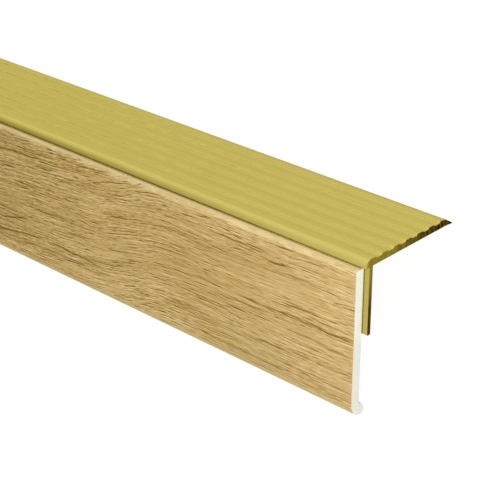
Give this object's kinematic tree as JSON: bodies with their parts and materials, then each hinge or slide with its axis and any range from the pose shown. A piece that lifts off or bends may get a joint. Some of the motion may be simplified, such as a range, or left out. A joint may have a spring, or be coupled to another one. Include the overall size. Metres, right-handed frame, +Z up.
{
  "type": "stair nosing",
  "caption": "Ribbed gold anodised aluminium angle for a stair edge, with a wood-look riser panel bonded under its lip and ending in a rounded foot.",
  "frame": {"origin": "centre of the bounding box at floor level, where the part lies on the rear edge of its tread flange and the heel of its panel", "axes": "+X along the length, +Z up; the wood-look face looks towards -Y and up, the ribbed tread face towards +Y and up"},
  "size_m": [0.9, 0.0646, 0.034],
  "materials": {
    "gold_anodised": "gold anodised, satin",
    "white_core": "extruded, matt off-white",
    "oak_film": "oak-look film, satin"
  },
  "bodies": {
    "root": {"nosing_profile": "gold_anodised", "panel_core": "white_core", "wood_film": "oak_film"}
  },
  "joints": []
}
